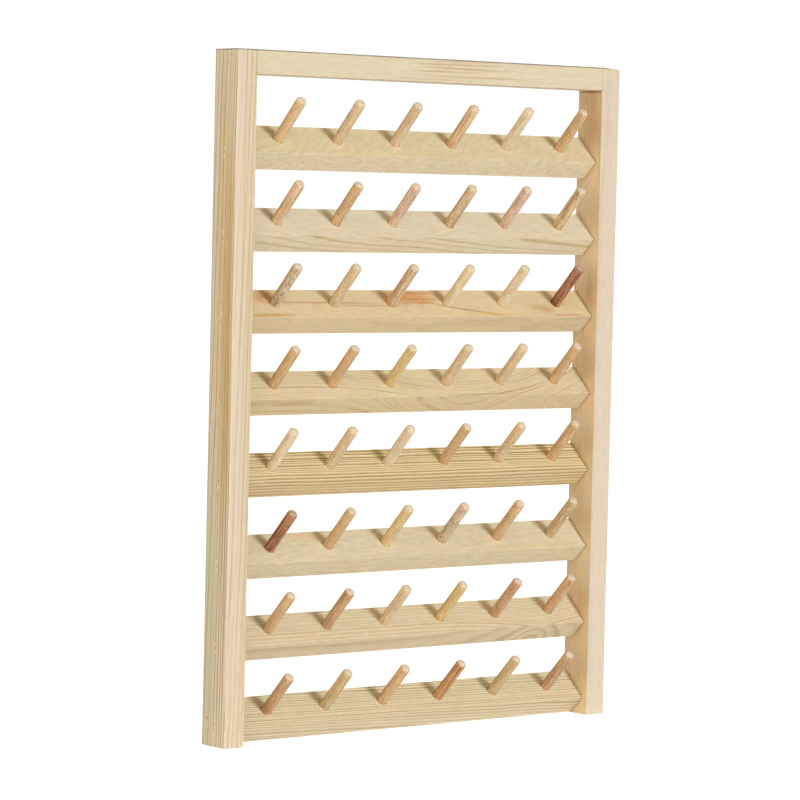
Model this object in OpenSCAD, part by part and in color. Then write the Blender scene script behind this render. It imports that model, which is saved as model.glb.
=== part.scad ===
// Wall rack for thread spools: two stiles, a top rail and eight sloping
// bars, each with six dowel pegs. Millimetres, +Z up, front towards -Y.
// The origin is under the middle of the whole object, on the surface it
// stands on: the two stiles' lower ends are at z = 0.

/* [Frame] */
// Overall height, the length of a stile
rack_h = 400; // [380:1:430]
// Overall width across both stiles
rack_w = 290; // [270:1:330]
// Depth of the stiles and the top rail, front to back
frame_d = 22; // [20:0.5:26]
// Thickness of the stock that every member is cut from
stock_t = 14; // [12:0.5:15]

/* [Peg bars] */
// Width of a bar, measured down its sloping upper face
bar_w = 22; // [20:0.5:23]
// Slope of a bar's upper face below the horizontal, degrees
bar_tilt = 45; // [40:1:48]
// Gap from the back of the frame to a bar's upper back edge
bar_setback = 2.5; // [1.5:0.5:4]
// Top of the rack down to the first bar's upper back edge
first_bar_drop = 42.7; // [38:0.1:48]
// Height of the last bar's upper back edge above the stiles' ends
last_bar_height = 26; // [26:0.5:34]

/* [Pegs] */
// Diameter of a dowel peg
peg_d = 6.35; // [6.35:0.05:7]
// Length of peg standing out of a bar
peg_out = 32.5; // [22:0.5:34]
// Diameter of the turned-down tenon at a peg's lower end
tenon_d = 6; // [4.6:0.1:6]
// Depth of the blind bore that a peg's tenon is glued into
bore_depth = 9; // [6:0.5:9.5]
// Inner face of a stile to the middle of the first peg
first_peg = 24; // [22:0.5:30]
// Chamfer on a peg's tip
peg_chamfer = 1; // [0.2:0.1:1.2]
// Glue line round a tenon
glue_gap = 0.05; // [0.03:0.01:0.1]

/* [Nails] */
// Length of a brad
nail_len = 30; // [24:1:32]
// Shank diameter of a brad
nail_d = 1.5; // [1.2:0.1:1.8]
// Head diameter of a brad
nail_head_d = 2.2; // [2:0.1:2.6]
// Depth that a brad's head is set below the face, filled with putty
nail_set = 1; // [0.6:0.1:1.4]

/* [Hangers] */
// Width of a hanger's strap
strap_w = 5.6; // [5:0.1:5.8]
// Thickness of the strap's sheet steel
strap_t = 0.6; // [0.5:0.1:0.8]
// Wire diameter of the swinging ring
ring_wire = 1.6; // [1.4:0.1:1.8]
// Width of the ring between its wires' centre lines
ring_w = 8.4; // [8.4:0.1:9.2]
// Reach of the ring from its hinge to the middle of its bow
ring_len = 10.5; // [10.5:0.1:12]
// Top of the rack down to the ring's hinge
hanger_drop = 20; // [19:0.5:24]

/* [Hidden] */

rows = 8;
pegs_per_row = 6;
inner_w = rack_w - 2 * stock_t;
half_d = frame_d / 2;
row_pitch = (rack_h - first_bar_drop - last_bar_height) / (rows - 1);
peg_pitch = (inner_w - 2 * first_peg) / (pegs_per_row - 1);
peg_r = peg_d / 2;
bore_r = tenon_d / 2 + glue_gap;

// Upper back edge of bar i, where i is 0 at the top
function bar_z(i) = rack_h - first_bar_drop - i * row_pitch;
bar_y = half_d - bar_setback;
// A point on a bar's end, s down the upper face and d below that face
function bar_pt(s, d) = [bar_y - s * cos(bar_tilt) + d * sin(bar_tilt),
                         -s * sin(bar_tilt) - d * cos(bar_tilt)];
function peg_x(k) = -inner_w / 2 + first_peg + k * peg_pitch;

// Brads at one end, as [y, z]: two in the rail, two in each bar one above the other,
// and two more in the lowest bar, which carries the foot of the frame
nail_r = nail_d / 2;
nail_hole_r = nail_r + 0.05;
nail_pocket_r = nail_head_d / 2 + 0.05;
nail_head_h = 0.8;
nail_pts = concat(
    [[0.40 * half_d, rack_h - 0.42 * stock_t], [-0.50 * half_d, rack_h - 0.42 * stock_t]],
    [for (i = [0 : rows - 1], q = [bar_pt(0.72 * bar_w, 0.28 * stock_t),
                                   bar_pt(0.87 * bar_w, 0.51 * stock_t)])
        [q[0], q[1] + bar_z(i)]],
    [for (q = [bar_pt(0.40 * bar_w, 0.38 * stock_t), bar_pt(0.55 * bar_w, 0.63 * stock_t)])
        [q[0], q[1] + bar_z(rows - 1)]]);
function bar_nails(i) = concat([nail_pts[2 + 2 * i], nail_pts[3 + 2 * i]],
    i == rows - 1 ? [nail_pts[2 + 2 * rows], nail_pts[3 + 2 * rows]] : []);

// Hanger: the strap's eye is centred at y = 0, z = 0, the wood behind it
eye_r = ring_wire / 2 + 0.25;
eye_out = eye_r + strap_t;
eye_y = half_d + eye_out;
leaf_len = eye_out + 3;
screw_z = -(ring_len + ring_wire / 2 + 3.2);
screw_head_r = 2.5;
screw_hole_r = 1.25;
screw_r = 1.1;
screw_len = 10;
hanger_x = rack_w / 2 - stock_t / 2;
hanger_z = rack_h - hanger_drop;

// The whole object's box runs from the peg tips to the hangers' eyes
tip_y = bar_y - bar_w / 2 * cos(bar_tilt) - (peg_out - peg_chamfer) * sin(bar_tilt)
        - peg_r * cos(bar_tilt);
origin_y = -(tip_y + eye_y + eye_out) / 2;

module placed() {
    translate([0, origin_y, 0]) children();
}

// Everything below is drawn about the middle of a stile's depth.

module brad_hole() {
    // along +X from the outer face of a stile at x = 0
    translate([-1, 0, 0]) rotate([0, 90, 0]) cylinder(r = nail_hole_r, h = nail_set + nail_len + 1.2, $fn = 24);
    translate([-1, 0, 0]) rotate([0, 90, 0]) cylinder(r = nail_pocket_r, h = nail_set + nail_head_h + 1.05, $fn = 24);
}

module brad() {
    translate([nail_set, 0, 0]) rotate([0, 90, 0]) {
        cylinder(r = nail_head_d / 2, h = nail_head_h, $fn = 24);
        cylinder(r = nail_r, h = nail_len - 1.5, $fn = 24);
        translate([0, 0, nail_len - 1.5]) cylinder(r1 = nail_r, r2 = 0.2, h = 1.5, $fn = 24);
    }
}

module stile() {
    difference() {
        translate([-rack_w / 2, -half_d, 0]) cube([stock_t, frame_d, rack_h]);
        for (p = nail_pts) translate([-rack_w / 2, p[0], p[1]]) brad_hole();
        // pilot hole of the hanger's screw, from the back
        translate([-hanger_x, half_d + 1, hanger_z + screw_z])
            rotate([90, 0, 0]) cylinder(r = screw_r + 0.05, h = screw_len + 1.5, $fn = 24);
    }
}

module left_stile() {
    color([0.90, 0.82, 0.68]) placed() stile();
}

module right_stile() {
    color([0.91, 0.82, 0.72]) placed() mirror([1, 0, 0]) stile();
}

module top_rail() {
    color([0.86, 0.80, 0.64]) placed() difference() {
        translate([-inner_w / 2, -half_d, rack_h - stock_t]) cube([inner_w, frame_d, stock_t]);
        for (m = [0, 1], k = [0, 1]) mirror([m, 0, 0])
            translate([-rack_w / 2, nail_pts[k][0], nail_pts[k][1]]) brad_hole();
    }
}

module peg_bar(i) {
    placed() difference() {
        translate([0, bar_y, bar_z(i)]) rotate([bar_tilt, 0, 0]) difference() {
            translate([-inner_w / 2, -bar_w, -stock_t]) cube([inner_w, bar_w, stock_t]);
            for (k = [0 : pegs_per_row - 1])
                translate([peg_x(k), -bar_w / 2, -bore_depth])
                    cylinder(r = bore_r, h = bore_depth + 1, $fn = 48);
        }
        // the back corner is planed off flush with the back of the frame
        translate([-rack_w / 2, half_d, bar_z(i) - 3 * bar_w]) cube([rack_w, 2 * bar_w, 6 * bar_w]);
        for (m = [0, 1], p = bar_nails(i)) mirror([m, 0, 0])
            translate([-rack_w / 2, p[0], p[1]]) brad_hole();
    }
}

module peg() {
    // tenon in the bore, its shoulder on the bar's face, a chamfered tip
    translate([0, 0, -bore_depth + 0.1]) cylinder(r = tenon_d / 2, h = bore_depth, $fn = 48);
    cylinder(r = peg_r, h = peg_out - peg_chamfer, $fn = 48);
    translate([0, 0, peg_out - peg_chamfer])
        cylinder(r1 = peg_r, r2 = peg_r - peg_chamfer, h = peg_chamfer, $fn = 48);
}

module peg_row(i) {
    placed() translate([0, bar_y, bar_z(i)]) rotate([bar_tilt, 0, 0])
        for (k = [0 : pegs_per_row - 1]) translate([peg_x(k), -bar_w / 2, 0]) peg();
}

module peg_bar_1() { color([0.88, 0.81, 0.65]) peg_bar(0); }
module peg_bar_2() { color([0.88, 0.81, 0.66]) peg_bar(1); }
module peg_bar_3() { color([0.87, 0.77, 0.62]) peg_bar(2); }
module peg_bar_4() { color([0.88, 0.81, 0.66]) peg_bar(3); }
module peg_bar_5() { color([0.85, 0.77, 0.60]) peg_bar(4); }
module peg_bar_6() { color([0.89, 0.82, 0.67]) peg_bar(5); }
module peg_bar_7() { color([0.87, 0.79, 0.63]) peg_bar(6); }
module peg_bar_8() { color([0.85, 0.77, 0.60]) peg_bar(7); }

module row_1_pegs() { color([0.80, 0.62, 0.42]) peg_row(0); }
module row_2_pegs() { color([0.80, 0.62, 0.43]) peg_row(1); }
module row_3_pegs() { color([0.77, 0.60, 0.44]) peg_row(2); }
module row_4_pegs() { color([0.80, 0.63, 0.44]) peg_row(3); }
module row_5_pegs() { color([0.79, 0.61, 0.42]) peg_row(4); }
module row_6_pegs() { color([0.76, 0.58, 0.42]) peg_row(5); }
module row_7_pegs() { color([0.80, 0.63, 0.44]) peg_row(6); }
module row_8_pegs() { color([0.79, 0.60, 0.42]) peg_row(7); }

module brads() {
    for (p = nail_pts) translate([-rack_w / 2, p[0], p[1]]) brad();
}

module left_nails() {
    color([0.62, 0.62, 0.64]) placed() brads();
}

module right_nails() {
    color([0.62, 0.62, 0.64]) placed() mirror([1, 0, 0]) brads();
}

module filler() {
    // one plug of putty over each brad's head, flush with the face
    for (p = nail_pts) translate([-rack_w / 2, p[0], p[1]])
        rotate([0, 90, 0]) cylinder(r = nail_pocket_r - 0.03, h = nail_set - 0.02, $fn = 24);
}

module left_nail_filler() {
    color([0.62, 0.50, 0.33]) placed() filler();
}

module right_nail_filler() {
    color([0.62, 0.50, 0.33]) placed() mirror([1, 0, 0]) filler();
}

module at_hanger(side) {
    placed() translate([side * hanger_x, eye_y, hanger_z]) children();
}

module hanger_plate(side) {
    at_hanger(side) difference() {
        union() {
            // sheet curled round the ring's straight side and folded back on itself
            rotate([90, 0, 90]) linear_extrude(height = strap_w, center = true) difference() {
                union() {
                    circle(r = eye_out, $fn = 48);
                    translate([-eye_out, -leaf_len]) square([2 * strap_t, leaf_len]);
                }
                circle(r = eye_r, $fn = 48);
            }
            translate([-strap_w / 2, -eye_out, screw_z]) cube([strap_w, strap_t, -screw_z]);
            translate([0, -eye_out, screw_z]) rotate([-90, 0, 0])
                cylinder(r = strap_w / 2, h = strap_t, $fn = 48);
        }
        translate([0, -eye_out - 1, screw_z]) rotate([-90, 0, 0])
            cylinder(r = screw_hole_r, h = strap_t + 2, $fn = 32);
        // the eye stays open right through
        translate([-strap_w, 0, 0]) rotate([0, 90, 0]) cylinder(r = eye_r, h = 2 * strap_w, $fn = 48);
    }
}

module left_hanger_plate() {
    color([0.78, 0.70, 0.48]) hanger_plate(-1);
}

module right_hanger_plate() {
    color([0.78, 0.70, 0.48]) hanger_plate(1);
}

module hanger_screw(side) {
    // pan head with a crossed slot, its shank in the stile
    at_hanger(side) translate([0, -eye_r, screw_z]) rotate([-90, 0, 0]) difference() {
        union() {
            cylinder(r = screw_head_r, h = 0.6, $fn = 48);
            translate([0, 0, 0.6]) cylinder(r1 = screw_head_r, r2 = screw_head_r - 0.9, h = 0.8, $fn = 48);
            translate([0, 0, -strap_t - screw_len + 1.5]) cylinder(r = screw_r, h = strap_t + screw_len - 1.5, $fn = 24);
            translate([0, 0, -strap_t - screw_len]) cylinder(r1 = 0.3, r2 = screw_r, h = 1.5, $fn = 24);
        }
        for (a = [0, 90]) rotate([0, 0, a + side * 20]) translate([-1.3, -0.3, 0.5]) cube([2.6, 0.6, 2]);
    }
}

module left_hanger_screw() {
    color([0.76, 0.68, 0.46]) hanger_screw(-1);
}

module right_hanger_screw() {
    color([0.76, 0.68, 0.46]) hanger_screw(1);
}

module wire_bend(r, a0, a1) {
    // part of a torus in the XZ plane, from angle a0 to a1
    rotate([90, 0, 0]) rotate([0, 0, a0]) rotate_extrude(angle = a1 - a0, $fn = 64)
        translate([r, 0]) circle(r = ring_wire / 2, $fn = 24);
}

module hanger_ring(side) {
    // D ring hanging from its straight side, which lies in the strap's eye
    bend = 1.2;
    bow = ring_w / 2;
    at_hanger(side) {
        translate([-bow + bend, 0, 0]) rotate([0, 90, 0]) cylinder(r = ring_wire / 2, h = ring_w - 2 * bend, $fn = 24);
        translate([bow - bend, 0, -bend]) wire_bend(bend, 0, 90);
        translate([-bow + bend, 0, -bend]) wire_bend(bend, 90, 180);
        for (s = [-1, 1]) translate([s * bow, 0, -ring_len + bow]) cylinder(r = ring_wire / 2, h = ring_len - bow - bend, $fn = 24);
        translate([0, 0, -ring_len + bow]) wire_bend(bow, 180, 360);
    }
}

module left_hanger_ring() {
    color([0.80, 0.72, 0.50]) hanger_ring(-1);
}

module right_hanger_ring() {
    color([0.80, 0.72, 0.50]) hanger_ring(1);
}

left_stile();
right_stile();
top_rail();
peg_bar_1();
peg_bar_2();
peg_bar_3();
peg_bar_4();
peg_bar_5();
peg_bar_6();
peg_bar_7();
peg_bar_8();
row_1_pegs();
row_2_pegs();
row_3_pegs();
row_4_pegs();
row_5_pegs();
row_6_pegs();
row_7_pegs();
row_8_pegs();
left_nails();
right_nails();
left_nail_filler();
right_nail_filler();
left_hanger_plate();
right_hanger_plate();
left_hanger_screw();
right_hanger_screw();
left_hanger_ring();
right_hanger_ring();
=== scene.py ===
import bmesh
import bpy
import math
from mathutils import Matrix, Vector


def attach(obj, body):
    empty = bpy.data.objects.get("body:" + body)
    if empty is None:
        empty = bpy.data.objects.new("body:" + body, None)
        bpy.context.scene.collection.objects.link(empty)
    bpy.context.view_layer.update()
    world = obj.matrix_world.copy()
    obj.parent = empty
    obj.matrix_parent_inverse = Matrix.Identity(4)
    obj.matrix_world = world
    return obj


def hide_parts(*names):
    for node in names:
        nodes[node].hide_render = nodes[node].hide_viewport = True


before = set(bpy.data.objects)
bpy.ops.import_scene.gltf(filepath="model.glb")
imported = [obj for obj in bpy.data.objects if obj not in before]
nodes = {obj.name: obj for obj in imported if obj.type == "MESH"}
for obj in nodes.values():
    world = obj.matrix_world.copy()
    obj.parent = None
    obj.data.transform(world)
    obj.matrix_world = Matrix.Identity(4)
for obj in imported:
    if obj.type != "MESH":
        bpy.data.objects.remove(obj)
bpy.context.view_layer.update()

scene = bpy.context.scene
rad = math.radians

# ---------------------------------------------------------------- shader graph helper


class Graph:
    """A material's node tree, with short calls for the nodes used here."""

    def __init__(self, name):
        self.mat = bpy.data.materials.new(name)
        self.mat.use_nodes = True
        self.tree = self.mat.node_tree
        self.tree.nodes.clear()
        self.out = self.new("ShaderNodeOutputMaterial")
        self.bsdf = self.new("ShaderNodeBsdfPrincipled")
        self.tree.links.new(self.bsdf.outputs[0], self.out.inputs["Surface"])

    def new(self, kind, **props):
        n = self.tree.nodes.new(kind)
        for k, v in props.items():
            setattr(n, k, v)
        return n

    def put(self, socket, value):
        if isinstance(value, bpy.types.NodeSocket):
            self.tree.links.new(value, socket)
        elif value is not None:
            socket.default_value = value

    def math(self, op, a, b=None, c=None, clamp=False):
        n = self.new("ShaderNodeMath", operation=op, use_clamp=clamp)
        for i, v in enumerate((a, b, c)):
            self.put(n.inputs[i], v)
        return n.outputs[0]

    def add(self, a, b):
        return self.math("ADD", a, b)

    def sub(self, a, b):
        return self.math("SUBTRACT", a, b)

    def mul(self, a, b):
        return self.math("MULTIPLY", a, b)

    def madd(self, a, b, c):
        return self.math("MULTIPLY_ADD", a, b, c)

    def dot(self, a, vec):
        n = self.new("ShaderNodeVectorMath", operation="DOT_PRODUCT")
        self.put(n.inputs[0], a)
        self.put(n.inputs[1], tuple(vec))
        return n.outputs["Value"]

    def xyz(self, x, y, z):
        n = self.new("ShaderNodeCombineXYZ")
        for i, v in enumerate((x, y, z)):
            self.put(n.inputs[i], v)
        return n.outputs[0]

    def step(self, v, a, b, lo=0.0, hi=1.0):
        n = self.new("ShaderNodeMapRange", interpolation_type="SMOOTHSTEP", clamp=True)
        for i, x in enumerate((v, a, b, lo, hi)):
            self.put(n.inputs[i], x)
        return n.outputs[0]

    def lerp(self, v, a, b, lo, hi):
        n = self.new("ShaderNodeMapRange", clamp=True)
        for i, x in enumerate((v, a, b, lo, hi)):
            self.put(n.inputs[i], x)
        return n.outputs[0]

    def noise(self, vec, detail=2.0, rough=0.5, scale=1.0, distortion=0.0):
        n = self.new("ShaderNodeTexNoise", noise_dimensions="3D")
        self.put(n.inputs["Vector"], vec)
        n.inputs["Scale"].default_value = scale
        n.inputs["Detail"].default_value = detail
        n.inputs["Roughness"].default_value = rough
        n.inputs["Distortion"].default_value = distortion
        return n.outputs[0]

    def noise1(self, w, detail=1.0, scale=1.0):
        n = self.new("ShaderNodeTexNoise", noise_dimensions="1D")
        self.put(n.inputs["W"], w)
        n.inputs["Scale"].default_value = scale
        n.inputs["Detail"].default_value = detail
        return n.outputs[0]

    def white(self, w):
        n = self.new("ShaderNodeTexWhiteNoise", noise_dimensions="1D")
        self.put(n.inputs["W"], w)
        return n.outputs["Value"]

    def mix(self, fac, a, b, blend="MIX"):
        n = self.new("ShaderNodeMix", data_type="RGBA", blend_type=blend, clamp_factor=True)
        self.put(n.inputs[0], fac)
        for i, v in ((6, a), (7, b)):
            if isinstance(v, tuple) and len(v) == 3:
                v = (*v, 1.0)
            self.put(n.inputs[i], v)
        return n.outputs[2]

    def gain(self, colour, k):
        """Colour times a grey factor."""
        n = self.new("ShaderNodeVectorMath", operation="SCALE")
        self.put(n.inputs[0], colour)
        self.put(n.inputs["Scale"], k)
        return n.outputs[0]

    def bump(self, height, distance, strength=1.0):
        n = self.new("ShaderNodeBump")
        n.inputs["Strength"].default_value = strength
        n.inputs["Distance"].default_value = distance
        self.put(n.inputs["Height"], height)
        return n.outputs[0]


def lin(r, g, b):
    """Linear colour from 0..255 display values."""
    f = lambda c: c / 12.92 if c <= 0.04045 else ((c + 0.055) / 1.055) ** 2.4
    return (f(r / 255), f(g / 255), f(b / 255))


# light levels
KEY, FILL, SKY, FLOOR_GLOW = 1.60, 1.22, 0.27, 0.27

# ---------------------------------------------------------------- pine

Q = math.sqrt(0.5)
RACK_TOP = 400.0
MID_Y = 4.748551          # mid-depth of the stiles, mm
BAR_BACK = 13.248551      # a bar's upper back edge, mm
BAR_TOP = [357.3 - 47.328571 * i for i in range(8)]
PEG_X = [-107 + 42.8 * k for k in range(6)]
PEG_OUT = 32.5


def pine(name, frame_axes, origin, seed, pith, slope=(0.0, 0.0), bend=(0.0, 0.0), bumps=(), ring=2.2,
         light=(0.76, 0.64, 0.43), dark=(0.52, 0.36, 0.18), warm=(0.78, 0.56, 0.34), contrast=0.6, warp=(0.7, 0.12),
         edge=(0.35, 0.86), fade=(0.35, 0.62, 0.25), ring_vary=0.25, mottle=0.25, skew=0.0, fibre=0.14, stains_and_painted_light=(),
         side=None, end=(0.80, 0.72, 0.60), gains=None, drift=0.0, hue=0.14, hole_x=(), patchy=0.20, top_line=False,
         side_rings=1.0):
    """Solid pine: growth rings about a pith line that runs beside or through the board, in the board's own millimetres.
    frame_axes are the board's long axis and its two cross axes. Lines appear on each face as the saw would show them."""
    g = Graph(name)
    U, S, D = frame_axes
    tc = g.new("ShaderNodeTexCoord")
    scaled = g.new("ShaderNodeVectorMath", operation="MULTIPLY_ADD")
    g.put(scaled.inputs[0], tc.outputs["Object"])
    scaled.inputs[1].default_value = (1000, 1000, 1000)
    scaled.inputs[2].default_value = tuple(-c for c in origin)
    p = scaled.outputs[0]
    u, s, d = g.dot(p, U), g.dot(p, S), g.dot(p, D)
    # slow and quick wander of the rings
    w1 = g.madd(g.noise(g.xyz(g.madd(u, 1 / 75, seed), g.mul(s, 1 / 16), g.mul(d, 1 / 16)), 1.0), 2 * warp[0], -warp[0])
    w2 = g.madd(g.noise(g.xyz(g.madd(u, 1 / 17, seed + 31), g.mul(s, 1 / 3.2), g.mul(d, 1 / 3.2)), 2.0), 2 * warp[1], -warp[1])
    ps, pd = g.madd(u, slope[0], pith[0]), g.madd(u, slope[1], pith[1])
    if bend != (0.0, 0.0):
        uu = g.mul(u, u)
        ps, pd = g.madd(uu, bend[0], ps), g.madd(uu, bend[1], pd)
    for u0, width, lift_s, lift_d in bumps:
        t = g.mul(g.sub(u, u0), 1 / width)
        bell = g.math("POWER", math.e, g.mul(g.mul(t, t), -1.0))
        if lift_s:
            ps = g.madd(bell, lift_s, ps)
        if lift_d:
            pd = g.madd(bell, lift_d, pd)
    ds, dd = g.sub(s, ps), g.sub(d, pd)
    r = g.math("SQRT", g.add(g.mul(ds, ds), g.mul(dd, dd)))
    r = g.add(r, g.add(w1, w2))
    x = g.madd(r, 1 / ring, g.madd(g.noise1(g.madd(r, 1 / (3.1 * ring), seed)), 1.6, seed * 0.37))
    fx, ix = g.math("FRACT", x), g.math("FLOOR", x)
    line = g.mul(g.step(fx, edge[0], edge[1]), g.step(fx, 0.90, 1.0, 1.0, 0.0))
    each = g.lerp(g.white(g.add(ix, seed)), 0.0, 1.0, ring_vary, 1.0)
    slow = g.lerp(g.noise(g.xyz(g.madd(u, 1 / 48, seed + 7), g.mul(s, 1 / 7), g.mul(d, 1 / 7)), 2.0), fade[0], fade[1], fade[2], 1.0)
    rings = g.mul(g.mul(line, each), slow)
    if gains is not None:
        # figure weaker on one of a bar's two faces: (upper, lower)
        under = g.step(g.dot(tc.outputs["Normal"], (0, -Q, -Q)), 0.3, 0.9)
        rings = g.mul(rings, g.lerp(under, 0.0, 1.0, gains[0], gains[1]))
    if side_rings != 1.0:
        on_side = g.step(g.dot(tc.outputs["Normal"], side[0]), 0.5, 0.9)
        rings = g.mul(rings, g.lerp(on_side, 0.0, 1.0, 1.0, side_rings))
    colour = g.mix(g.math("MINIMUM", g.mul(rings, contrast), 1.0), light, dark)
    # broad warm and pale clouds, then fibres
    us = g.madd(s, skew, u) if skew else u
    sk = g.madd(u, drift, s) if drift else s
    cloud = g.noise(g.xyz(g.madd(us, 1 / 26, seed + 13), g.mul(s, 1 / 8), g.mul(d, 1 / 8)), 2.0)
    colour = g.mix(g.mul(g.step(cloud, 0.40, 0.72), mottle), colour, warm)
    patch = g.noise(g.xyz(g.madd(us, 1 / 8, seed + 3), g.mul(sk, 1 / 2.2), g.mul(d, 1 / 2.2)), 2.0)
    strand = g.noise(g.xyz(g.madd(u, 1 / 12, seed + 17), g.mul(s, 1 / 0.42), g.mul(d, 1 / 0.42)), 3.0, 0.6)
    # short pale and dark dashes: resin canals and torn fibres
    dash = g.noise(g.xyz(g.madd(u, 1 / 2.6, seed + 23), g.mul(s, 1 / 0.22), g.mul(d, 1 / 0.22)), 1.0)
    # the wood plays between greenish and pinkish cream
    tone = g.noise(g.xyz(g.madd(us, 1 / 11, seed + 41), g.mul(sk, 1 / 1.3), g.mul(d, 1 / 1.3)), 2.0)
    colour = g.mix(g.step(tone, 0.52, 0.72, 0.0, hue * 4), colour, g.mix(1.0, colour, (1.02, 0.97, 0.95), "MULTIPLY"))
    colour = g.mix(g.step(tone, 0.28, 0.48, hue * 4, 0.0), colour, g.mix(1.0, colour, (0.98, 1.0, 0.90), "MULTIPLY"))
    k = g.madd(patch, patchy, 1 - patchy / 2)
    k = g.mul(k, g.madd(strand, 2 * fibre, 1 - fibre))
    k = g.mul(k, g.lerp(dash, 0.62, 0.76, 1.0, 1.0 - 1.6 * fibre))
    colour = g.gain(colour, k)
    # marks laid on the wood: real stains and streaks, and some painted shadows and a painted highlight
    for st in stains_and_painted_light:
        # (u0, half length, s0, slope, half width, colour, strength, axis)
        u0, wu, s0, inclination, ws, tint, strength, axis = st
        across = s if axis == "f" else d if axis == "d" or U == Z else s
        du = g.sub(u, u0)
        tu = g.mul(du, 1 / wu)
        ts = g.mul(g.sub(g.madd(du, -inclination, across), s0), 1 / ws)
        wob = g.madd(patch, 1.8, -0.9)
        ts = g.add(ts, wob)
        m = g.math("POWER", math.e, g.mul(g.add(g.mul(g.mul(tu, tu), g.mul(tu, tu)), g.mul(ts, ts)), -1.0))
        m = g.mul(m, g.lerp(strand, 0.36, 0.62, 0.55, 1.15))
        if axis == "s":   # on the upper face only
            m = g.mul(m, g.step(d, 0.0, 3.5, 1.0, 0.0))
        elif axis == "d":
            m = g.mul(m, g.step(s, -3.5, 0.0, 0.0, 1.0))
        elif axis == "f":   # on a stile's front
            m = g.mul(m, g.step(g.dot(tc.outputs["Normal"], (0, -1, 0)), 0.5, 0.9))
        elif U == Z:   # on a stile's face that looks at -X
            m = g.mul(m, g.step(g.dot(tc.outputs["Normal"], (-1, 0, 0)), 0.5, 0.9))
        colour = g.mix(g.mul(m, strength), colour, tint)
    if hole_x:
        # the rim of each peg's hole: a hair of shadow and glue
        for hx in hole_x:
            q = g.sub(u, hx)
            t = g.add(s, 11.0)
            rr = g.math("SQRT", g.add(g.mul(q, q), g.mul(t, t)))
            rim = g.mul(g.step(rr, 3.15, 3.3), g.step(rr, 3.35, 3.8, 1.0, 0.0))
            rim = g.mul(rim, g.step(d, 0.0, 1.0, 1.0, 0.0))
            torn = g.mul(g.step(rr, 3.5, 3.9), g.step(rr, 4.3, 5.2, 1.0, 0.0))
            torn = g.mul(torn, g.mul(g.step(d, 0.0, 1.0, 1.0, 0.0), g.lerp(patch, 0.35, 0.6, 0.5, 1.0)))
            colour = g.mix(g.mul(torn, 0.8), colour, g.mix(1.0, colour, (1.13, 1.07, 1.01), "MULTIPLY"))
            colour = g.mix(g.mul(rim, 0.60), colour, g.mix(1.0, colour, (0.50, 0.36, 0.20), "MULTIPLY"))
    if top_line:
        # painted shade: a thin dark line is painted along the arrises round the top, the shade of upward-facing edges
        z = g.dot(p, Z) if U != Z else u
        level = g.sub(z, 7.0) if U != Z else g.sub(z, 400.0)
        top_arris_shade = g.mul(g.step(g.madd(patch, 0.5, level), -0.75, -0.15), g.lerp(cloud, 0.3, 0.6, 0.62, 0.95))
        rim = g.step(g.madd(patch, 1.2, g.math("ABSOLUTE", d)), 10.2, 11.2)
        if U == Z:
            rim = g.math("MAXIMUM", rim, g.step(g.madd(patch, 1.2, g.mul(s, math.copysign(1, origin[0]))), 6.2, 7.2))
        top_face = g.step(g.dot(tc.outputs["Normal"], Z), 0.80, 0.95)
        top_arris_shade = g.mul(top_arris_shade, g.lerp(top_face, 0.0, 1.0, 1.0, rim))
        colour = g.mix(top_arris_shade, colour, (0.20, 0.17, 0.13))
    if hole_x:
        # painted shade: the joint with the stiles shows as a thin dark line, the shadow in the gap
        au = g.math("ABSOLUTE", u)
        joint_shade = g.step(g.madd(patch, 0.3, au), 130.25, 130.85)
        colour = g.mix(g.mul(joint_shade, 0.60), colour, g.mix(1.0, colour, (0.42, 0.30, 0.18), "MULTIPLY"))
    if side is not None:
        # painted light and shade: one face of the board is tinted lighter or darker, warmer or bluer, to set how lit it
        # looks: (axis vector, tint)
        facing = g.dot(tc.outputs["Normal"], side[0])
        colour = g.mix(g.step(facing, 0.5, 0.9), colour, g.mix(1.0, colour, side[1], "MULTIPLY"))
    # sawn ends are darker and thirstier
    facing = g.math("ABSOLUTE", g.dot(tc.outputs["Normal"], U))
    ends = g.step(facing, 0.72, 0.92)
    pores = g.noise(g.xyz(g.mul(u, 0.5), g.mul(s, 1 / 0.28), g.mul(d, 1 / 0.28)), 2.0)
    sawn = g.gain(g.mix(1.0, colour, end, "MULTIPLY"), g.lerp(pores, 0.3, 0.7, 0.86, 1.08))
    colour = g.mix(ends, colour, sawn)
    g.put(g.bsdf.inputs["Base Color"], colour)
    height = g.add(g.madd(strand, 0.5, g.mul(rings, 0.6)), g.mul(dash, 0.35))
    g.put(g.bsdf.inputs["Roughness"], g.madd(strand, 0.16, g.madd(rings, -0.08, 0.56)))
    g.put(g.bsdf.inputs["Normal"], g.bump(height, 0.00006))
    g.bsdf.inputs["Specular IOR Level"].default_value = 0.32
    return g.mat


X, Y, Z = (1, 0, 0), (0, 1, 0), (0, 0, 1)
DOWN_FACE = (0, -Q, -Q)    # along a bar's upper face towards its front arris
UNDER = (0, Q, -Q)         # from the front arris back along its lower face


def bar_origin(i):
    """The front arris of bar i, mm."""
    return (0.0, BAR_BACK - 22 * Q, BAR_TOP[i] - 22 * Q)


LIGHT = lin(231, 217, 184)
WARM = lin(234, 210, 172)
DARK = lin(180, 150, 104)

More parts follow.
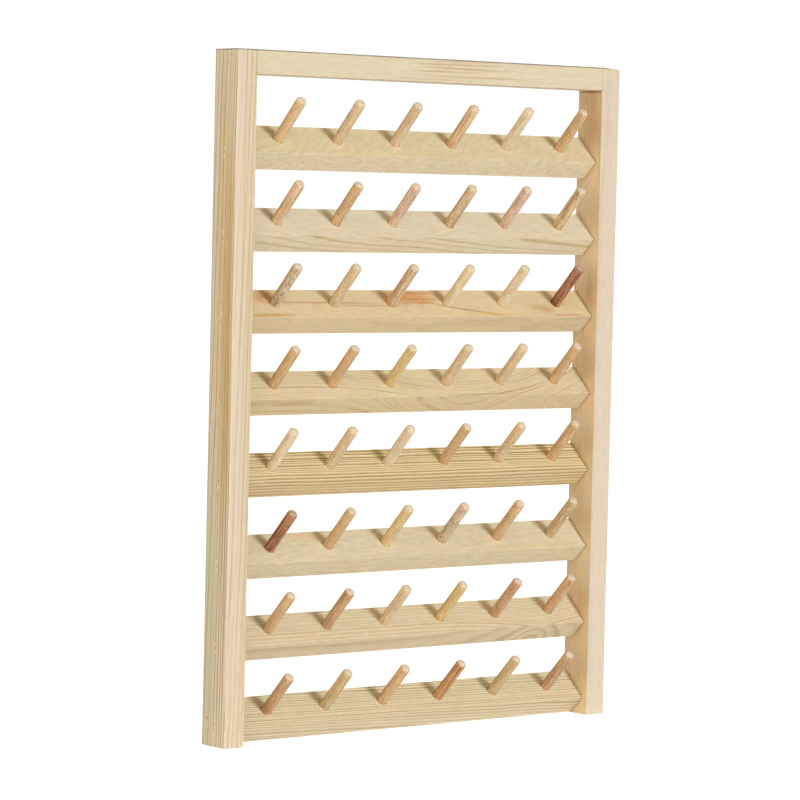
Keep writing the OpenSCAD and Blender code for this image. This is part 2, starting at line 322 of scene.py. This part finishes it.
mats = {
    "left_stile": pine("pine_left_stile", (Z, X, Y), (-138, MID_Y, 0), 2.3, (-34, 30), slope=(0.016, -0.010), ring=2.0,
                       light=lin(226, 211, 185), warm=lin(230, 205, 179), dark=lin(178, 140, 82), contrast=0.74,
                       warp=(1.0, 0.14), ring_vary=0.35, fibre=0.18, edge=(0.58, 0.88), fade=(0.30, 0.55, 0.45),
                       side=((-1, 0, 0), (1.19, 1.31, 1.52)), mottle=0.2, side_rings=2.1, hue=0.22,
                       stains_and_painted_light=[(235, 105, -6.2, 0.0, 3.8, lin(198, 164, 90), 0.66, "x"),
                               (240, 92, -2.2, 0.004, 0.40, lin(150, 108, 54), 0.60, "x"),
                               (205, 96, -4.4, 0.003, 0.34, lin(152, 112, 56), 0.55, "x"),
                               (268, 84, -6.6, 0.002, 0.36, lin(154, 110, 54), 0.60, "x"),
                               (150, 90, -8.2, 0.002, 0.32, lin(158, 120, 62), 0.50, "x"),
                               (322, 58, 1.0, 0.005, 0.40, lin(160, 124, 70), 0.50, "x"),
                               (330, 60, 4.6, 0.004, 0.36, lin(164, 130, 76), 0.45, "x"),
                               (110, 70, -0.4, 0.004, 0.36, lin(164, 128, 72), 0.45, "x"),
                               (262, 118, -0.5, 0.0, 7.0, lin(206, 172, 106), 0.50, "x"),
                               (200, 260, 10.4, 0.0, 1.6, lin(190, 190, 168), 0.75, "x"),
                               (66, 96, 5.4, 0.0, 5.2, lin(190, 184, 148), 0.60, "x"),
                               (90, 105, -7.8, 0.001, 0.40, lin(150, 110, 58), 0.60, "x"),
                               (104, 98, -5.6, 0.002, 0.36, lin(152, 112, 58), 0.55, "x"),
                               (84, 90, -3.4, 0.002, 0.36, lin(154, 116, 62), 0.50, "x"),
                               (290, 150, -4.0, 0.002, 2.2, lin(234, 219, 208), 0.60, "f"),
                               (90, 120, -1.4, 0.004, 1.8, lin(234, 219, 206), 0.50, "f"),
                               # painted highlight: the cream strip along the outer arris of the front face
                               (200, 280, -6.3, 0.0, 0.60, lin(246, 232, 200), 0.60, "f"),
                               (320, 90, -0.6, 0.004, 0.55, lin(204, 182, 126), 0.55, "f"),
                               (230, 110, 3.6, 0.005, 0.60, lin(202, 176, 118), 0.60, "f"),
                               (150, 130, 5.5, 0.003, 0.50, lin(200, 172, 114), 0.60, "f")], top_line=True),
    "right_stile": pine("pine_right_stile", (Z, X, Y), (138, MID_Y, 0), 5.1, (10, 60), slope=(0.006, 0.004), ring=2.6,
                        light=lin(226, 213, 194), warm=lin(230, 208, 188), dark=lin(190, 158, 122), contrast=0.30,
                        warp=(1.2, 0.10), mottle=0.35, side=((-1, 0, 0), (1.15, 1.08, 0.93)),
                        stains_and_painted_light=[(372, 16, -2, 0.0, 8.0, lin(190, 144, 100), 0.55, "y"),
                                (348, 9, 3, 0.0, 5.0, lin(186, 150, 112), 0.35, "y"),
                                (262, 14, -3, 0.0, 5.0, lin(178, 140, 104), 0.45, "y"),
                                (226, 16, 0, 0.0, 7.0, lin(196, 156, 112), 0.35, "y"),
                                (140, 20, 2, 0.0, 5.0, lin(196, 156, 112), 0.3, "y"),
                                (60, 16, -2, 0.0, 6.0, lin(196, 150, 106), 0.35, "y"),
                                # painted shadow: the dark line under the rail on the stile's inner face
                                (385.3, 0.8, 0, 0.0, 16.0, lin(112, 78, 46), 0.70, "y")], top_line=True),
    "top_rail": pine("pine_top_rail", (X, Z, Y), (0, MID_Y, 393), 8.4, (-26, 10), slope=(0.0, 0.0), ring=2.3,
                     light=lin(227, 215, 188), warm=lin(232, 210, 184), dark=lin(180, 146, 98), contrast=0.14,
                     warp=(1.3, 0.16), bumps=[(14, 34, 2.0, 0)],
                     stains_and_painted_light=[(16, 30, 3.9, 0.012, 0.5, lin(184, 154, 108), 0.75, "x"),
                             (22, 30, 1.6, -0.008, 0.45, lin(180, 148, 102), 0.80, "x"),
                             (8, 26, -0.4, 0.010, 0.5, lin(186, 156, 110), 0.65, "x"),
                             (28, 34, -3.2, 0.006, 0.6, lin(188, 158, 114), 0.60, "x"),
                             (-2, 26, -5.2, 0.0, 0.45, lin(190, 160, 116), 0.50, "x"),
                             (20, 26, 5.6, 0.004, 0.4, lin(188, 158, 112), 0.55, "x")], top_line=True),
}
BARS = [
    dict(seed=11.3, pith=(-14, 72), slope=(0.0, 0.02), ring=2.4, contrast=0.16, drift=0.50, mottle=0.25, fibre=0.13,
         hue=0.28, light=lin(227, 213, 177), patchy=0.44,
         side=((0, -Q, -Q), (1.11, 1.15, 1.29))),
    dict(seed=14.9, pith=(-60, -12), slope=(0.030, 0.0), ring=1.7, contrast=0.72, warp=(0.9, 0.14), gains=(0.12, 1.0), patchy=0.30, fibre=0.18,
         edge=(0.60, 0.90), fade=(0.2, 0.45, 0.6), ring_vary=0.7, light=lin(230, 219, 195), dark=lin(190, 168, 104),
         side=((0, -Q, -Q), (1.09, 1.11, 1.12))),
    dict(seed=17.2, pith=(-80, 8), slope=(0.004, 0.0), ring=1.15, contrast=0.50, gains=(0.25, 0.75),
         light=lin(230, 210, 170), hue=0.18, patchy=0.26, side=((0, -Q, -Q), (1.02, 1.06, 1.15)), fibre=0.18,
         # partly painted shadow: the dark orange-brown patch where the first peg's shadow falls, over orange wood
         stains_and_painted_light=[(-110, 12, -16, 0.0, 4.8, lin(214, 146, 84), 0.70, "s"),
                 (-70, 36, -11.6, 0.012, 0.8, lin(196, 140, 92), 0.70, "s"),
                 (-38, 26, -9.3, 0.0, 0.7, lin(196, 146, 92), 0.60, "s"),
                 (-6, 19, -16, 0.0, 4.8, lin(222, 150, 84), 0.90, "s"),
                 (-5, 18, -19.4, 0.0, 0.8, lin(186, 112, 60), 0.75, "s"),
                 (-2, 16, -14.2, 0.0, 0.7, lin(190, 112, 56), 0.65, "s"),
                 (-4, 14, -11.6, 0.005, 0.7, lin(190, 116, 60), 0.70, "s"),
                 (34, 27, -6, 0.185, 0.8, lin(172, 124, 66), 0.70, "s"),
                 (52, 13, -2.4, 0.05, 1.5, lin(230, 190, 106), 0.60, "s"),
                 (-113, 15, -1.8, -0.01, 1.1, lin(206, 154, 66), 0.92, "s"),
                 (94, 9, -7, 0.12, 3.0, lin(200, 150, 94), 0.60, "s"),
                 (112, 11, -1.3, 0.0, 0.6, lin(208, 112, 76), 0.75, "s"),
                 (117, 9, -12, 0.0, 5.0, lin(228, 180, 124), 0.45, "s")]),
    dict(seed=21.7, pith=(-62, -10), slope=(0.0, 0.0), ring=1.55, contrast=0.86, warp=(0.8, 0.14), gains=(0.95, 0.62),
         bumps=[(35, 58, 14, 0), (152, 42, -16, 0)], light=lin(233, 218, 182), edge=(0.3, 0.86), ring_vary=0.25,
         stains_and_painted_light=[(44, 25, -0.9, -0.012, 0.5, lin(150, 118, 66), 0.70, "s"),
                 (72, 16, -3.6, -0.16, 0.5, lin(156, 124, 72), 0.60, "s"),
                 (98, 17, -9.4, -0.26, 0.5, lin(160, 128, 76), 0.50, "s")]),
    dict(seed=25.1, pith=(-80, -44), slope=(0.006, -0.004), ring=1.62, contrast=1.0, warp=(0.9, 0.22), edge=(0.30, 0.85),
         light=lin(240, 222, 178), warm=lin(232, 204, 148), dark=lin(154, 116, 60), ring_vary=0.6, mottle=0.15,
         fade=(0.2, 0.5, 0.65), fibre=0.12, gains=(1.0, 0.85)),
    dict(seed=28.6, pith=(-14, 90), slope=(0.0, 0.02), ring=3.2, contrast=0.20, light=lin(229, 217, 189), mottle=0.2, patchy=0.36, fibre=0.22, side=((0, -Q, -Q), (1.02, 1.04, 1.04)),
         stains_and_painted_light=[(-76, 16, -18, 0.0, 3.0, lin(232, 190, 140), 0.45, "s"),
                 (92, 34, -2.5, 0.0, 1.6, lin(226, 196, 134), 0.45, "s"),
                 # painted shade: a dark spot in the corner where the bar's front arris meets the left stile
                 (-129.5, 1.2, -0.6, 0.0, 0.8, lin(110, 76, 44), 0.8, "s")]),
    dict(seed=33.4, pith=(-62, 18), slope=(0.0, 0.0), ring=2.05, contrast=0.60, warp=(0.7, 0.16), gains=(1.0, 0.85), patchy=0.26,
         bumps=[(92, 44, 5.5, 0), (95, 15, 2.6, 0)], edge=(0.40, 0.87), light=lin(231, 217, 186),
         dark=lin(176, 142, 98), fade=(0.25, 0.5, 0.5), side=((0, -Q, -Q), (0.98, 1.0, 1.04))),
    dict(seed=37.8, side=((0, -Q, -Q), (0.89, 0.89, 0.92)), pith=(-84, -38), slope=(0.008, 0.035), ring=1.40, contrast=0.74, warp=(0.8, 0.18), edge=(0.3, 0.86),
         light=lin(236, 223, 190), dark=lin(166, 134, 84), ring_vary=0.5, mottle=0.12, fade=(0.2, 0.5, 0.6), fibre=0.12),
]
for i, spec in enumerate(BARS):
    base = dict(light=LIGHT, warm=WARM, dark=DARK, hole_x=PEG_X)
    base.update(spec)
    mats[f"peg_bar_{i + 1}"] = pine(f"pine_bar_{i + 1}", (X, DOWN_FACE, UNDER), bar_origin(i), **base)


# ---------------------------------------------------------------- dowel wood

ALONG = (0, -Q, Q)         # a peg's axis, towards its tip
ACROSS = (0, Q, Q)


def dowel(name, light, dark, seed, flecks=0.40, streak=0.50, tip=(0.86, 0.74, 0.60)):
    """Turned hardwood: close straight grain, dark pore flecks, a paler end and faint rings left by the cutter."""
    g = Graph(name)
    tc = g.new("ShaderNodeTexCoord")
    scaled = g.new("ShaderNodeVectorMath", operation="SCALE")
    g.put(scaled.inputs[0], tc.outputs["Object"])
    scaled.inputs["Scale"].default_value = 1000
    p = scaled.outputs[0]
    a, b, c = g.dot(p, ALONG), g.dot(p, X), g.dot(p, ACROSS)
    bands = g.noise(g.xyz(g.madd(a, 1 / 30, seed), g.mul(b, 1 / 1.15), g.mul(c, 1 / 1.15)), 2.0)
    fine = g.noise(g.xyz(g.madd(a, 1 / 6, seed + 4), g.mul(b, 1 / 0.55), g.mul(c, 1 / 0.55)), 3.0, 0.6)
    fleck = g.noise(g.xyz(g.madd(a, 1 / 1.7, seed + 9), g.mul(b, 1 / 0.50), g.mul(c, 1 / 0.50)), 1.0)
    blotch = g.noise(g.xyz(g.madd(a, 1 / 9, seed + 2), g.mul(b, 1 / 5), g.mul(c, 1 / 5)), 2.0)
    colour = g.mix(g.mul(g.step(bands, 0.42, 0.66), streak), light, dark)
    colour = g.mix(g.mul(g.step(fleck, 0.54, 0.68), flecks), colour, tuple(0.42 * v for v in dark))
    colour = g.mix(g.mul(g.step(fleck, 0.28, 0.44, 1.0, 0.0), flecks), colour, tuple(min(0.92, 1.12 * v) for v in light))
    # the cutter leaves fine ridges round the dowel
    turn = g.math("SINE", g.madd(a, 2 * math.pi / 1.7, g.mul(blotch, 9.0)))
    k = g.mul(g.madd(fine, 1.05, 0.49), g.madd(blotch, 0.36, 0.82))
    k = g.mul(k, g.madd(turn, 0.018, 1.0))
    colour = g.mix(1.0, g.gain(colour, k), (1.0, 1.04, 1.12), "MULTIPLY")
    ends = g.step(g.dot(tc.outputs["Normal"], ALONG), 0.42, 0.78)
    spots = g.noise(g.xyz(g.mul(a, 0.3), g.madd(b, 1 / 0.55, seed), g.mul(c, 1 / 0.55)), 2.0)
    cut = g.gain(g.mix(0.85, colour, tip), g.lerp(spots, 0.32, 0.62, 0.74, 1.06))
    colour = g.mix(ends, colour, cut)
    g.put(g.bsdf.inputs["Base Color"], colour)
    g.put(g.bsdf.inputs["Roughness"], g.madd(fine, 0.18, 0.44))
    height = g.add(g.mul(fine, 0.6), g.madd(turn, 0.12, g.mul(fleck, -0.4)))
    g.put(g.bsdf.inputs["Normal"], g.bump(height, 0.00006))
    g.bsdf.inputs["Specular IOR Level"].default_value = 0.38
    return g.mat


TONES = {
    "orange": dowel("dowel_orange", lin(238, 205, 160), lin(212, 162, 104), 1.0),
    "tan": dowel("dowel_tan", lin(234, 207, 170), lin(206, 170, 126), 2.7),
    "pale": dowel("dowel_pale", lin(242, 222, 190), lin(218, 186, 142), 4.1, flecks=0.3, streak=0.4),
    "golden": dowel("dowel_golden", lin(232, 203, 150), lin(206, 166, 104), 5.9, flecks=0.3),
    "pink": dowel("dowel_pink", lin(236, 204, 178), lin(204, 160, 130), 7.3, flecks=0.55),
    "amber": dowel("dowel_amber", lin(224, 188, 142), lin(200, 150, 100), 3.3),
    "streaky": dowel("dowel_streaky", lin(240, 210, 170), lin(200, 122, 62), 8.4, streak=0.75),
    "cocoa": dowel("dowel_cocoa", lin(212, 172, 132), lin(168, 122, 84), 10.3, flecks=0.45, streak=0.6),
    "brown": dowel("dowel_brown", lin(222, 180, 138), lin(180, 130, 88), 9.2, flecks=0.45, streak=0.6),
    "grey": dowel("dowel_grey", lin(228, 204, 174), lin(168, 136, 106), 11.8, flecks=0.85, streak=0.5),
    "olive": dowel("dowel_olive", lin(216, 188, 142), lin(176, 142, 96), 12.6, flecks=0.45, streak=0.5),
    "dark": dowel("dowel_dark", lin(200, 142, 104), lin(112, 66, 46), 13.5, flecks=0.8, streak=0.85, tip=(0.60, 0.44, 0.34)),
    "red": dowel("dowel_red", lin(222, 172, 122), lin(150, 88, 50), 15.2, flecks=0.5, streak=0.85),
    "tiger": dowel("dowel_tiger", lin(240, 208, 162), lin(160, 108, 60), 17.1, flecks=0.6, streak=0.90),
    "rust": dowel("dowel_rust", lin(232, 204, 168), lin(184, 134, 94), 18.9, flecks=0.5, streak=0.75),
}
PEG_TONES = [
    "orange tan tan streaky pale amber",
    "streaky amber pink rust pink tiger",
    "grey tan rust pale pale dark",
    "amber amber golden tan tan amber",
    "pale tan pale amber tan amber",
    "dark amber golden grey amber olive",
    "amber cocoa tan golden brown brown",
    "cocoa olive amber red olive cocoa",
]


# ---------------------------------------------------------------- putty, steel, brass plate

def putty():
    g = Graph("putty")
    tc = g.new("ShaderNodeTexCoord")
    s = g.new("ShaderNodeVectorMath", operation="SCALE")
    g.put(s.inputs[0], tc.outputs["Object"])
    s.inputs["Scale"].default_value = 1000
    which = g.noise(s.outputs[0], 0.0, scale=0.31)
    grain = g.noise(s.outputs[0], 3.0, 0.6, scale=3.0)
    colour = g.mix(g.step(which, 0.56, 0.66), lin(248, 236, 218), lin(214, 184, 148))
    colour = g.gain(colour, g.madd(grain, 0.3, 0.85))
    g.put(g.bsdf.inputs["Base Color"], colour)
    g.put(g.bsdf.inputs["Roughness"], g.madd(grain, 0.15, 0.72))
    g.put(g.bsdf.inputs["Normal"], g.bump(grain, 0.0001))
    g.bsdf.inputs["Specular IOR Level"].default_value = 0.25
    return g.mat


def metal(name, base, worn, roughness, brushed_along):
    g = Graph(name)
    tc = g.new("ShaderNodeTexCoord")
    s = g.new("ShaderNodeVectorMath", operation="SCALE")
    g.put(s.inputs[0], tc.outputs["Object"])
    s.inputs["Scale"].default_value = 1000
    p = s.outputs[0]
    stretch = g.new("ShaderNodeVectorMath", operation="MULTIPLY")
    g.put(stretch.inputs[0], p)
    stretch.inputs[1].default_value = brushed_along
    scratch = g.noise(stretch.outputs[0], 2.0, 0.6, scale=1.0)
    cloud = g.noise(p, 3.0, 0.55, scale=0.45)
    speck = g.noise(p, 1.0, scale=4.0)
    colour = g.mix(g.step(cloud, 0.42, 0.70), base, worn)
    colour = g.gain(colour, g.mul(g.madd(scratch, 0.14, 0.93), g.lerp(speck, 0.66, 0.76, 1.0, 0.7)))
    g.put(g.bsdf.inputs["Base Color"], colour)
    g.bsdf.inputs["Metallic"].default_value = 1.0
    g.put(g.bsdf.inputs["Roughness"], g.mul(g.madd(scratch, 0.30, roughness), g.madd(cloud, 0.6, 0.7)))
    g.put(g.bsdf.inputs["Normal"], g.bump(g.add(scratch, g.mul(speck, -0.4)), 0.00002))
    return g.mat


brass_plate = metal("brass_plate", (0.80, 0.60, 0.30), (0.58, 0.40, 0.19), 0.24, (6.0, 6.0, 0.5))
brass_wire = metal("brass_wire", (0.82, 0.63, 0.33), (0.60, 0.43, 0.21), 0.20, (3.0, 3.0, 3.0))
brass_screw = metal("brass_screw", (0.76, 0.57, 0.28), (0.52, 0.37, 0.18), 0.26, (5.0, 5.0, 5.0))
bright_steel = metal("bright_steel", (0.62, 0.62, 0.63), (0.46, 0.45, 0.44), 0.28, (0.5, 6.0, 6.0))
mat_putty = putty()

# ---------------------------------------------------------------- wooden members


def member(node, material, eased, shortest=0.0025, drop=0.0):
    """The CAD member with its long arrises eased, as sanded stock has them. The brad holes keep sharp rims."""
    me = nodes[node].data.copy()
    me.name = node + "_wood"
    bm = bmesh.new()
    bm.from_mesh(me)
    bmesh.ops.remove_doubles(bm, verts=bm.verts, dist=2e-6)
    bmesh.ops.dissolve_limit(bm, angle_limit=rad(0.5), use_dissolve_boundaries=False, verts=bm.verts, edges=bm.edges)
    if drop:
        # the outer corner of the top end is sanded down a little
        for v in bm.verts:
            if v.co.z > 0.3999 and v.co.x > 0.1449:
                v.co.z -= drop
    sharp = [e for e in bm.edges if len(e.link_faces) == 2 and e.calc_length() > shortest and e.calc_face_angle(0) > rad(30)]
    bmesh.ops.bevel(bm, geom=sharp, offset=eased, offset_type="OFFSET", segments=3, profile=0.5, affect="EDGES",
                    clamp_overlap=True, harden_normals=False)
    bmesh.ops.recalc_face_normals(bm, faces=bm.faces)
    open_edges = sum(1 for e in bm.edges if len(e.link_faces) != 2)
    volume = bm.calc_volume()
    for f in bm.faces:
        f.smooth = True
        f.material_index = 0
    bm.to_mesh(me)
    bm.free()
    print(f"{node}: {len(me.vertices)} vertices, {len(me.polygons)} faces, {open_edges} open edges, {volume * 1e6:.2f} cm3")
    me.set_sharp_from_angle(angle=rad(40))
    ob = bpy.data.objects.new(node + ".wood", me)
    scene.collection.objects.link(ob)
    me.materials.clear()
    me.materials.append(material)
    w = ob.modifiers.new("flat faces", "WEIGHTED_NORMAL")
    w.keep_sharp = True
    w.weight = 100
    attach(ob, "rack")
    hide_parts(node)
    return ob


member("left_stile", mats["left_stile"], 0.00045)
member("right_stile", mats["right_stile"], 0.00045, drop=0.0009)
member("top_rail", mats["top_rail"], 0.00035)
for i in range(8):
    member(f"peg_bar_{i + 1}", mats[f"peg_bar_{i + 1}"], 0.0003)

# ---------------------------------------------------------------- pegs


def peg_profile():
    """(radius, distance along the peg from the bar's face) in mm, from the tenon's end to the tip."""
    pts = [(0.0, -8.9), (2.6, -8.9), (3.0, -8.5), (3.0, -0.02), (3.175, -0.02), (3.175, 6.0), (3.175, 14.0), (3.175, 22.0)]
    r_edge, n = 2.4, 11
    for k in range(n + 1):
        t = math.pi / 2 * k / n
        pts.append((3.175 - r_edge + r_edge * math.cos(t), PEG_OUT - 0.15 - r_edge + r_edge * math.sin(t)))
    pts += [(0.40, PEG_OUT - 0.06), (0.0, PEG_OUT - 0.01)]
    return pts


def peg_row(i):
    profile, turns = peg_profile(), 40
    along, side_a, side_b = Vector(ALONG), Vector(X), Vector(ACROSS)
    base = Vector((0, BAR_BACK - 11 * Q, BAR_TOP[i] - 11 * Q))
    verts, faces, tone_of = [], [], []
    names = PEG_TONES[i].split()
    used = sorted(set(names))
    for k, x in enumerate(PEG_X):
        centre = base + Vector((x, 0, 0))
        rings = []
        for r, z in profile:
            if r == 0:
                rings.append([len(verts)])
                verts.append((centre + along * z) / 1000)
            else:
                ring = []
                for t in range(turns):
                    a = 2 * math.pi * t / turns
                    ring.append(len(verts))
                    verts.append((centre + along * z + side_a * (r * math.cos(a)) + side_b * (r * math.sin(a))) / 1000)
                rings.append(ring)
        for lo, hi in zip(rings, rings[1:]):
            for t in range(turns):
                n = (t + 1) % turns
                if len(lo) == 1:
                    faces.append((lo[0], hi[n], hi[t]))
                elif len(hi) == 1:
                    faces.append((lo[t], lo[n], hi[0]))
                else:
                    faces.append((lo[t], lo[n], hi[n], hi[t]))
                tone_of.append(used.index(names[k]))
    me = bpy.data.meshes.new(f"row_{i + 1}_pegs_wood")
    me.from_pydata(verts, [], faces)
    bm = bmesh.new()
    bm.from_mesh(me)
    bmesh.ops.recalc_face_normals(bm, faces=bm.faces)
    bm.to_mesh(me)
    bm.free()
    for name in used:
        me.materials.append(TONES[name])
    for f, tone in zip(me.polygons, tone_of):
        f.material_index = tone
        f.use_smooth = True
    me.set_sharp_from_angle(angle=rad(50))
    ob = bpy.data.objects.new(f"row_{i + 1}_pegs.wood", me)
    scene.collection.objects.link(ob)
    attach(ob, "rack")
    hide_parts(f"row_{i + 1}_pegs")


for i in range(8):
    peg_row(i)

# ---------------------------------------------------------------- carried-over CAD nodes


def finish_node(node, material, eased=None):
    ob = nodes[node]
    ob.data.materials.clear()
    ob.data.materials.append(material)
    if eased:
        weld = ob.modifiers.new("weld", "WELD")
        weld.merge_threshold = 2e-6
        bevel = ob.modifiers.new("ease", "BEVEL")
        bevel.width = eased
        bevel.segments = 2
        bevel.limit_method = "ANGLE"
        bevel.angle_limit = rad(40)
        normals = ob.modifiers.new("normals", "WEIGHTED_NORMAL")
        normals.keep_sharp = True


for side in ("left", "right"):
    finish_node(f"{side}_nails", bright_steel)
    finish_node(f"{side}_nail_filler", mat_putty)
    finish_node(f"{side}_hanger_plate", brass_plate, 0.00008)
    finish_node(f"{side}_hanger_screw", brass_screw, 0.00006)
    finish_node(f"{side}_hanger_ring", brass_wire)

# ---------------------------------------------------------------- floor, light, camera

bpy.ops.mesh.primitive_plane_add(size=60, location=(0, 0, 0))
floor = bpy.context.object
floor.name = "studio_floor"
g = Graph("studio_floor")
tc = g.new("ShaderNodeTexCoord")
n = g.noise(tc.outputs["Object"], 2.0, scale=3.0)
g.put(g.bsdf.inputs["Base Color"], g.mix(n, (0.88, 0.88, 0.88), (0.90, 0.90, 0.90)))
g.bsdf.inputs["Roughness"].default_value = 0.9
g.bsdf.inputs["Specular IOR Level"].default_value = 0.1
# the floor is lit past white for the eye, and throws a calmer light on the rack
seen_only = g.new("ShaderNodeLightPath").outputs["Is Camera Ray"]
g.bsdf.inputs["Emission Color"].default_value = (1, 1, 1, 1)
g.put(g.bsdf.inputs["Emission Strength"], g.lerp(seen_only, 0.0, 1.0, FLOOR_GLOW, 0.80))
floor.data.materials.append(g.mat)

world = bpy.data.worlds.new("studio")
scene.world = world
world.use_nodes = True
wt = world.node_tree
wt.nodes.clear()
w_out = wt.nodes.new("ShaderNodeOutputWorld")
lit = wt.nodes.new("ShaderNodeBackground")
lit.inputs["Color"].default_value = (1.0, 0.82, 0.57, 1)
lit.inputs["Strength"].default_value = SKY
seen = wt.nodes.new("ShaderNodeBackground")
seen.inputs["Color"].default_value = (1, 1, 1, 1)
seen.inputs["Strength"].default_value = 1.05
path = wt.nodes.new("ShaderNodeLightPath")
both = wt.nodes.new("ShaderNodeMixShader")
wt.links.new(path.outputs["Is Camera Ray"], both.inputs[0])
wt.links.new(lit.outputs[0], both.inputs[1])
wt.links.new(seen.outputs[0], both.inputs[2])
wt.links.new(both.outputs[0], w_out.inputs["Surface"])


def sun(name, direction, angle, strength, colour=(1, 1, 1)):
    """A far softbox: direction points from the rack to the light, angle is how wide it looks."""
    data = bpy.data.lights.new(name, "SUN")
    data.angle = rad(angle)
    data.energy = strength
    data.color = colour
    ob = bpy.data.objects.new(name, data)
    scene.collection.objects.link(ob)
    d = Vector(direction).normalized()
    ob.location = Vector((0, 0, 0.2)) + d * 2
    ob.rotation_mode = "QUATERNION"
    ob.rotation_quaternion = d.to_track_quat("Z", "Y")
    return ob


sun("key", (0.125, -0.885, 0.447), 12, KEY, (0.95, 1.01, 1.05))
sun("fill_left", (-0.93, -0.33, 0.12), 50, FILL, (0.98, 0.81, 0.55))

cam_data = bpy.data.cameras.new("camera")
cam = bpy.data.objects.new("camera", cam_data)
scene.collection.objects.link(cam)
scene.camera = cam
YAW, PITCH, ROLL = rad(-38.49), rad(3.24), rad(1.33)
back = Vector((math.sin(YAW) * math.cos(PITCH), -math.cos(YAW) * math.cos(PITCH), math.sin(PITCH)))
right = Vector((0, 0, 1)).cross(back).normalized()
up = back.cross(right)
cr, sr = math.cos(ROLL), math.sin(ROLL)
right, up = right * cr + up * sr, up * cr - right * sr
place = -(right * 5.9 + up * -196.9 - back * 2166.3) / 1000 + Vector((0, MID_Y / 1000, 0))
m = Matrix((right, up, back)).transposed().to_4x4()
m.translation = place
cam.matrix_world = m
cam_data.sensor_fit = "HORIZONTAL"
cam_data.sensor_width = 36
cam_data.lens = 3612.4 * 36 / 800
cam_data.clip_start, cam_data.clip_end = 0.05, 40
cam_data.dof.use_dof = False

scene.view_settings.view_transform = "Standard"
scene.view_settings.look = "None"
scene.view_settings.exposure = 0.0
scene.view_settings.gamma = 1.0
scene.cycles.use_denoising = True
